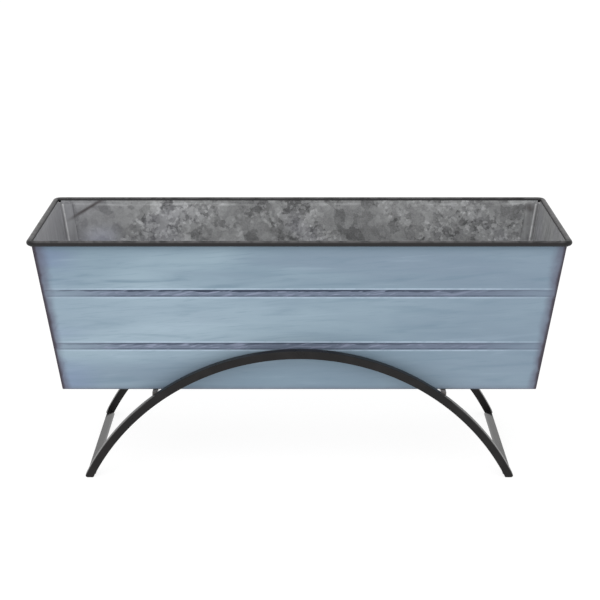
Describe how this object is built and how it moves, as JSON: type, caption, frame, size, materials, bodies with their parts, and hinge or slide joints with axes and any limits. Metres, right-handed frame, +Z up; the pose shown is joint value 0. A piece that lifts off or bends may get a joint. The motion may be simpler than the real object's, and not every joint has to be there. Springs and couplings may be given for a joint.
{
  "type": "raised planter",
  "caption": "Tapered sheet-metal planter trough with a rolled rim and pressed ribs, resting in a stand of arched square bars.",
  "frame": {"origin": "on the floor, under the middle of the planter", "axes": "+X along the trough, +Y to its back, +Z up"},
  "size_m": [0.61, 0.203, 0.288],
  "materials": {
    "blue_wash": "satin grey-blue wash brushed over a dark glaze, darker in the ribs and along the edges",
    "galvanised": "dull zinc with large spangle",
    "rim_paint": "satin dark patina",
    "stand_paint": "satin graphite-black paint with a fine grain"
  },
  "bodies": {
    "stand": {"front_arch": "stand_paint", "back_arch": "stand_paint", "left_foot_bar": "stand_paint", "right_foot_bar": "stand_paint", "left_rest_bar": "stand_paint", "right_rest_bar": "stand_paint"},
    "trough": {"front_panel": "blue_wash", "back_panel": "blue_wash", "left_end_panel": "blue_wash", "right_end_panel": "blue_wash", "bottom_panel": "galvanised", "rim_wire": "rim_paint"}
  },
  "joints": [
    {"name": "trough_lift", "type": "slide", "parent": "stand", "child": "trough", "axis": [0, 0, 1], "range_m": [0, 0.2]}
  ]
}
